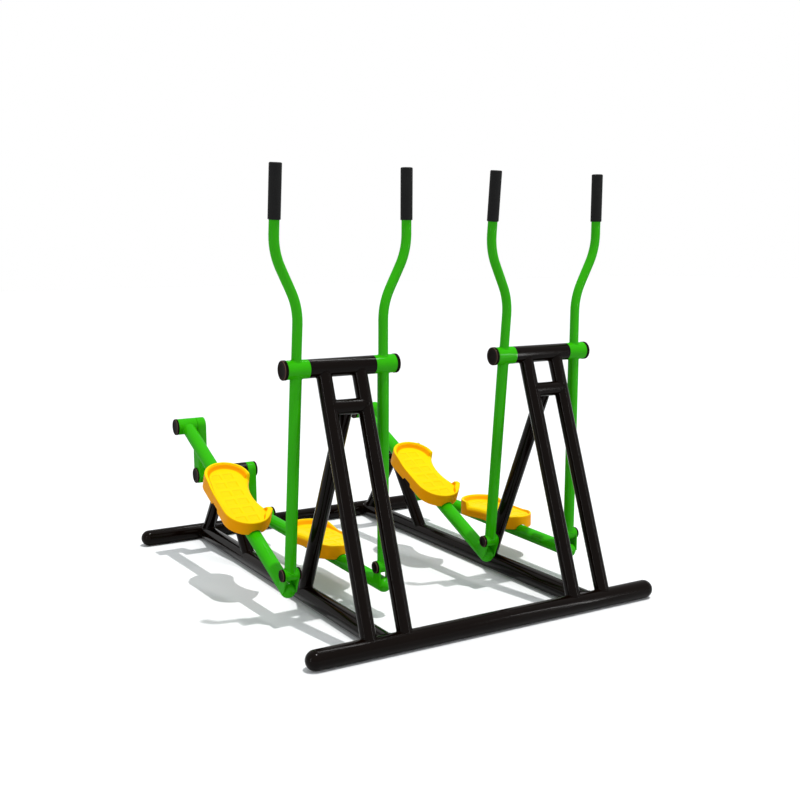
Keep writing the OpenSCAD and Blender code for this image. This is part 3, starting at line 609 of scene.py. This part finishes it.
plateGrid, platePaintedShade = footplateGrid()
plateFaces = gridFaces(plateGrid.shape[0], plateGrid.shape[1])
for station in stationNames:
    for side in sideNames:
        name = station + "_" + side
        points = onBar(plateGrid, station, side)
        piece = meshObject(name + "_moulded_footplate", points, plateFaces, yellowPlastic,
                           {"wallTint": platePaintedShade})
        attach(piece, name + "_pedal_bar_set")
        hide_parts(name + "_footplate")
print("footplates done")


# Grips

grip = {"shift": 85 * mm, "base": 456.5 * mm, "length": 165 * mm, "radius": 19.5 * mm, "bore": 16.1 * mm,
        "footRound": 2.2 * mm, "headRound": 4 * mm, "headRing": 8 * mm, "end": 6 * mm}


def gripGrids():
    # Rounded foot, straight side, rounded head, and the bore inside; a round is a quarter circle with its
    # points at radius - round (1 - sin a) and round (1 - cos a)
    g, a = grip, quarterTurn
    foot = np.stack([g["radius"] - g["footRound"] * (1 - np.sin(a)), g["footRound"] * (1 - np.cos(a))], -1)
    head = np.stack([g["radius"] - g["headRound"] * (1 - np.cos(a)),
                     g["length"] - g["headRound"] * (1 - np.sin(a))], -1)
    outer = np.concatenate([[[g["bore"], 0]], foot, head, [[g["headRing"], g["length"]], [0, g["length"]]]])
    inner = [[0, g["length"] - g["end"]], [g["bore"], g["length"] - g["end"]], [g["bore"], 0]]
    return [lathe(outer), lathe(inner)]


for station in stationNames:
    for side in sideNames:
        name = station + "_" + side
        grids = [onHandle(g + np.array([grip["shift"], 0, grip["base"]]), station, side) for g in gripGrids()]
        piece = joinedGrids(name + "_rubber_grip", grids, gripRubber)
        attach(piece, name + "_handle_set")
        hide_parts(name + "_grip")
print("grips done")


# Caps with a rounded edge and a dished face

cap = {
    "round": 3.2 * mm, "dish": 0.9 * mm, "dishShare": (0.66, 0.7, 0.74), "footRise": 0.25,
    # The first two values below are shares of painted highlight on the wall of the dish
    "footMark": 0.2, "topMark": 0.1, "sides": 56,
    "sleeveAt": 37.7 * mm, "sleeveRadius": 31.25 * mm, "sleeveThick": 11.8 * mm,
    "pinAt": -40.6 * mm, "pinRadius": 31.5 * mm, "pinThick": 9.0 * mm, "pinEnd": 32.5 * mm,
    "pinRod": 12.5 * mm, "hubAt": 121.1 * mm, "hubRadius": 30.5 * mm, "hubThick": 6.8 * mm,
    "pivotAt": 24.8 * mm, "pivotRadius": 20.5 * mm, "pivotThick": 8.6 * mm, "pivotRod": 8 * mm,
    "rodOver": 1 * mm,
}


def capProfile(radius, thick):
    # From the middle of the dished face over the rounded edge to the back, as [radius, height, share of painted
    # highlight], strongest half way round the edge and faint on the dish's wall
    a = quarterTurn
    edge = np.stack([radius - cap["round"] * (1 - np.sin(a)), thick - cap["round"] * (1 - np.cos(a)),
                     np.sin(2 * a) ** 0.5], -1)
    low = thick - cap["dish"]
    floorEnd, wallFoot, wallTop = (radius * share for share in cap["dishShare"])
    face = [[0, low, 0], [floorEnd, low, 0], [wallFoot, low + cap["dish"] * cap["footRise"], cap["footMark"]],
            [wallTop, thick, cap["topMark"]]]
    return np.concatenate([face, edge, [[radius, 0, 0], [0, 0, 0]]])


def capPiece(name, profiles, place):
    # Each profile is turned about X, which the place function then moves to its body
    points, faces, marks, start = [], [], [], 0
    for profile, offset, way in profiles:
        grid = lathe(profile[:, :2], cap["sides"])
        grid = np.stack([way * grid[..., 2], grid[..., 0], grid[..., 1]], -1) + np.array(offset)
        quads = gridFaces(grid.shape[0], grid.shape[1], start=start)
        faces.append(quads if way > 0 else quads[:, ::-1])
        points.append(place(grid).reshape(-1, 3))
        marks.append(np.repeat(profile[:, 2], grid.shape[1]))
        start += grid.shape[0] * grid.shape[1]
    return meshObject(name, np.concatenate(points), np.concatenate(faces), capPlastic,
                      {"capRim": np.concatenate(marks)})


def rodProfile(radius, length):
    # Flat end, straight side, flat end, as [radius, height, share of painted highlight], which is none here
    return np.array([[0, 0, 0], [radius, 0, 0], [radius, length, 0], [0, length, 0]])


for station in stationNames:
    axle = jointAt[station + "_crank_turn"]
    hub = capProfile(cap["hubRadius"], cap["hubThick"])
    hubs = [(hub, (way * cap["hubAt"], 0, 0), way) for way in (-1, 1)]
    piece = capPiece(station + "_rounded_hub_caps", hubs, lambda grid, axle=axle: grid + axle)
    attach(piece, station + "_crank_set")
    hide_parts(station + "_hub_caps")
    for side in sideNames:
        name = station + "_" + side

        def byHandle(grid, station=station, side=side):
            return onHandle(grid, station, side)

        def byBar(grid, station=station, side=side):
            return onBar(grid, station, side)

        sleeve = capProfile(cap["sleeveRadius"], cap["sleeveThick"])
        piece = capPiece(name + "_rounded_sleeve_cap", [(sleeve, (cap["sleeveAt"], 0, 0), 1)], byHandle)
        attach(piece, name + "_handle_set")
        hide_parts(name + "_sleeve_cap")
        pin = capProfile(cap["pinRadius"], cap["pinThick"])
        rod = rodProfile(cap["pinRod"], cap["pinEnd"] - cap["pinAt"])
        pinPlace = (cap["pinAt"], 0, 0)
        piece = capPiece(name + "_rounded_pin_cap", [(pin, pinPlace, -1), (rod, pinPlace, 1)], byBar)
        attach(piece, name + "_pedal_bar_set")
        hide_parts(name + "_crank_pin")
        low = capProfile(cap["pivotRadius"], cap["pivotThick"])
        reach = cap["pivotAt"] + cap["rodOver"]
        rod = rodProfile(cap["pivotRod"], 2 * reach)
        ends = [(low, (way * cap["pivotAt"], -bar["pivotAlong"], bar["pivotRise"]), way) for way in (-1, 1)]
        ends.append((rod, (-reach, -bar["pivotAlong"], bar["pivotRise"]), 1))
        piece = capPiece(name + "_rounded_pivot_pin", ends, byBar)
        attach(piece, name + "_pedal_bar_set")
        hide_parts(name + "_pivot_pin")
print("caps done")


# Weld beads of the frame, the handles and the pedal bars

tube = {"postRadius": 25 * mm, "postShift": 63 * mm, "topRadius": 30 * mm, "baseRadius": 31.75 * mm,
        "legFoot": -216 * mm, "legShift": 13 * mm, "footSpread": 205 * mm, "housingRadius": 31 * mm,
        "dropRadius": 19 * mm, "riserRadius": 16 * mm, "eyeRadius": 20 * mm, "dropLength": 675 * mm,
        "groundRoom": 0.2 * mm}
acrossAxis, alongAxis = np.array([1.0, 0, 0]), np.array([0, 1.0, 0])


def frameBeads():
    t = tube
    base, post = t["baseRadius"], t["postRadius"]
    front, rear = boxMiddle("front_base_tube"), boxMiddle("rear_base_tube")
    beads = []

    def bead(*measures):
        beads.append(saddleBead(*measures))

    for station in stationNames:
        axle = jointAt[station + "_crank_turn"]
        pivot = jointAt[station + "_left_handle_swing"]
        rung = boxMiddle(station + "_rung")
        x = np.array([axle[0], 0, 0])
        beamMiddle = x + np.array([0, 0, base])
        for end in (front, rear):
            bead(beamMiddle, x + end * np.array([0, 1, 1]), base, end, acrossAxis, base)
        foot, head = x + front * np.array([0, 1, 1]), x + pivot * np.array([0, 1, 1])
        for way in (-1, 1):
            shift = np.array([way * t["postShift"], 0, 0])
            bead(head + shift, foot + shift, post, front, acrossAxis, base)
            bead(foot + shift, head + shift, post, head, acrossAxis, t["topRadius"])
            bead(rung, rung + shift, post, foot + shift, head - foot, post)
        legTop = rung + np.array([0, t["legShift"], 0])
        legFoot = np.array([axle[0], t["legFoot"], 2 * base])
        bead(legTop, legFoot, post, beamMiddle, alongAxis, base)
        for way in (-1, 1):
            support = np.array([axle[0], axle[1] + way * t["footSpread"], 2 * base])
            bead(axle, support, post, beamMiddle, alongAxis, base)
            bead(support, axle, post, axle, acrossAxis, t["housingRadius"])
    # No bead goes below the ground
    return [np.maximum(points, [-np.inf, -np.inf, t["groundRoom"]]) for points in beads]


piece = joinedGrids("frame_weld_beads", frameBeads(), blackPaint, wrapRows=True)
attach(piece, "frame")

zero, up = np.zeros(3), np.array([0, 0, 1.0])
handleBeads = [
    saddleBead(up, zero, tube["riserRadius"], zero, acrossAxis, tube["topRadius"]),
    saddleBead(-up, zero, tube["dropRadius"], zero, acrossAxis, tube["topRadius"]),
    saddleBead(zero, -up, tube["dropRadius"], -up * tube["dropLength"], acrossAxis, tube["eyeRadius"]),
]
barBeads = [saddleBead(-alongAxis, zero, bar["radius"], zero, acrossAxis, bar["sleeveRadius"])]
for station in stationNames:
    for side in sideNames:
        name = station + "_" + side
        piece = joinedGrids(name + "_handle_weld_beads", [onHandle(b, station, side) for b in handleBeads],
                            greenPaint, wrapRows=True)
        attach(piece, name + "_handle_set")
        piece = joinedGrids(name + "_pedal_bar_weld_bead", [onBar(b, station, side) for b in barBeads],
                            greenPaint, wrapRows=True)
        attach(piece, name + "_pedal_bar_set")
print("welds done")


# Floor, light and camera

studio = {
    "floorSize": 60.0, "floorTones": (0.9, 0.94), "floorBounce": 0.5, "floorScale": 3.0, "floorDetail": 3.0,
    "floorRoughness": 0.9, "floorSpecular": 0.1, "worldLevel": 0.56, "worldTint": (0.96, 1.0, 1.04, 1),
    "white": (1, 1, 1, 1), "sunLevel": 2.1, "sunSoftness": 1.0, "sunFrom": (0.09, -0.24, 1.0),
    "sunHeight": 5, "boxTarget": (0, 0, 0.6),
}


def seenRay(tree):
    # 1 for a ray that the camera sees straight, in gloss or through glass
    rays = addNode(tree, "ShaderNodeLightPath").outputs
    direct = combine(tree, "MAXIMUM", rays["Is Camera Ray"], rays["Is Glossy Ray"])
    return combine(tree, "MAXIMUM", direct, rays["Is Transmission Ray"])


def placed(obj, sideways, above, back, place):
    # Local X, Y and Z axes and the position of a lamp or camera
    axes = np.column_stack([sideways, above, back, place])
    obj.matrix_world = Matrix(np.vstack([axes, [0, 0, 0, 1]]).tolist())


corners = np.array([[-1, -1, 0], [1, -1, 0], [1, 1, 0], [-1, 1, 0]], float) * studio["floorSize"] / 2
floorMesh = bpy.data.meshes.new("studioFloor")
floorMesh.from_pydata(corners.tolist(), [], [(0, 1, 2, 3)])
floor = newObject("studioFloor", floorMesh)
floorPaint = bpy.data.materials.new("paleFloor")
floorPaint.use_nodes = True
floorTree = floorPaint.node_tree
floorShader = floorTree.nodes["Principled BSDF"]
floorNoise = addNode(floorTree, "ShaderNodeTexNoise", {
    "Vector": objectPlace(floorTree), "Scale": studio["floorScale"], "Detail": studio["floorDetail"]})
floorTone = remap(floorTree, floorNoise.outputs["Fac"], target=studio["floorTones"])
floorSeen = remap(floorTree, seenRay(floorTree), target=(studio["floorBounce"], floorTone))
floorTree.links.new(floorSeen, floorShader.inputs["Base Color"])
floorShader.inputs["Roughness"].default_value = studio["floorRoughness"]
floorShader.inputs["Specular IOR Level"].default_value = studio["floorSpecular"]
floorMesh.materials.append(floorPaint)

world = bpy.data.worlds.new("studioWorld")
bpy.context.scene.world = world
world.use_nodes = True
worldTree = world.node_tree
background = worldTree.nodes["Background"]
seen = seenRay(worldTree)
skyLevel = remap(worldTree, seen, target=(studio["worldLevel"], 1.0))
skyTint = mixColours(worldTree, seen, studio["worldTint"], studio["white"])
worldTree.links.new(skyTint, background.inputs["Color"])
worldTree.links.new(skyLevel, background.inputs["Strength"])

sunData = bpy.data.lights.new("studioSun", "SUN")
sunData.energy = studio["sunLevel"]
sunData.angle = math.radians(studio["sunSoftness"])
sunWay = np.array(studio["sunFrom"]) / np.linalg.norm(studio["sunFrom"])
sunSide = np.cross([0.0, 1.0, 0.0], sunWay)
sunSide /= np.linalg.norm(sunSide)
placed(newObject("studioSun", sunData), sunSide, np.cross(sunWay, sunSide), sunWay,
       [0, 0, studio["sunHeight"]])

softBoxes = [
    {"name": "topBox", "place": (1.0, 0.2, 3.6), "size": (3.0, 0.08), "power": 24.0},
    {"name": "leftStrip", "place": (-4.0, -1.4, 1.3), "size": (0.07, 2.4), "power": 18.0},
    {"name": "rightStrip", "place": (2.6, -3.6, 1.3), "size": (0.07, 2.4), "power": 22.0},
]
for box in softBoxes:
    boxData = bpy.data.lights.new(box["name"], "AREA")
    boxData.shape = "RECTANGLE"
    boxData.size, boxData.size_y = box["size"]
    boxData.energy = box["power"]
    lamp = newObject(box["name"], boxData)
    lamp.location = box["place"]
    aim = Vector(studio["boxTarget"]) - Vector(box["place"])
    lamp.rotation_euler = aim.to_track_quat("-Z", "Y").to_euler()

view = {"place": (-1.94316, -3.51233, 1.21714), "yaw": 30.404157, "pitch": 7.982341, "roll": -0.375369,
        "lens": 48.64, "sensor": 36.0, "farthest": 200.0}
yaw, pitch, roll = (math.radians(view[k]) for k in ("yaw", "pitch", "roll"))
ahead = np.array([math.sin(yaw) * math.cos(pitch), math.cos(yaw) * math.cos(pitch), -math.sin(pitch)])
sideways = np.array([math.cos(yaw), -math.sin(yaw), 0.0])
above = np.cross(sideways, ahead)
cameraData = bpy.data.cameras.new("photoCamera")
cameraData.sensor_width = view["sensor"]
cameraData.lens = view["lens"]
cameraData.clip_end = view["farthest"]
camera = newObject("photoCamera", cameraData)
placed(camera, math.cos(roll) * sideways + math.sin(roll) * above,
       -math.sin(roll) * sideways + math.cos(roll) * above, -ahead, np.array(view["place"]))
bpy.context.scene.camera = camera
bpy.context.scene.view_settings.view_transform = "Standard"
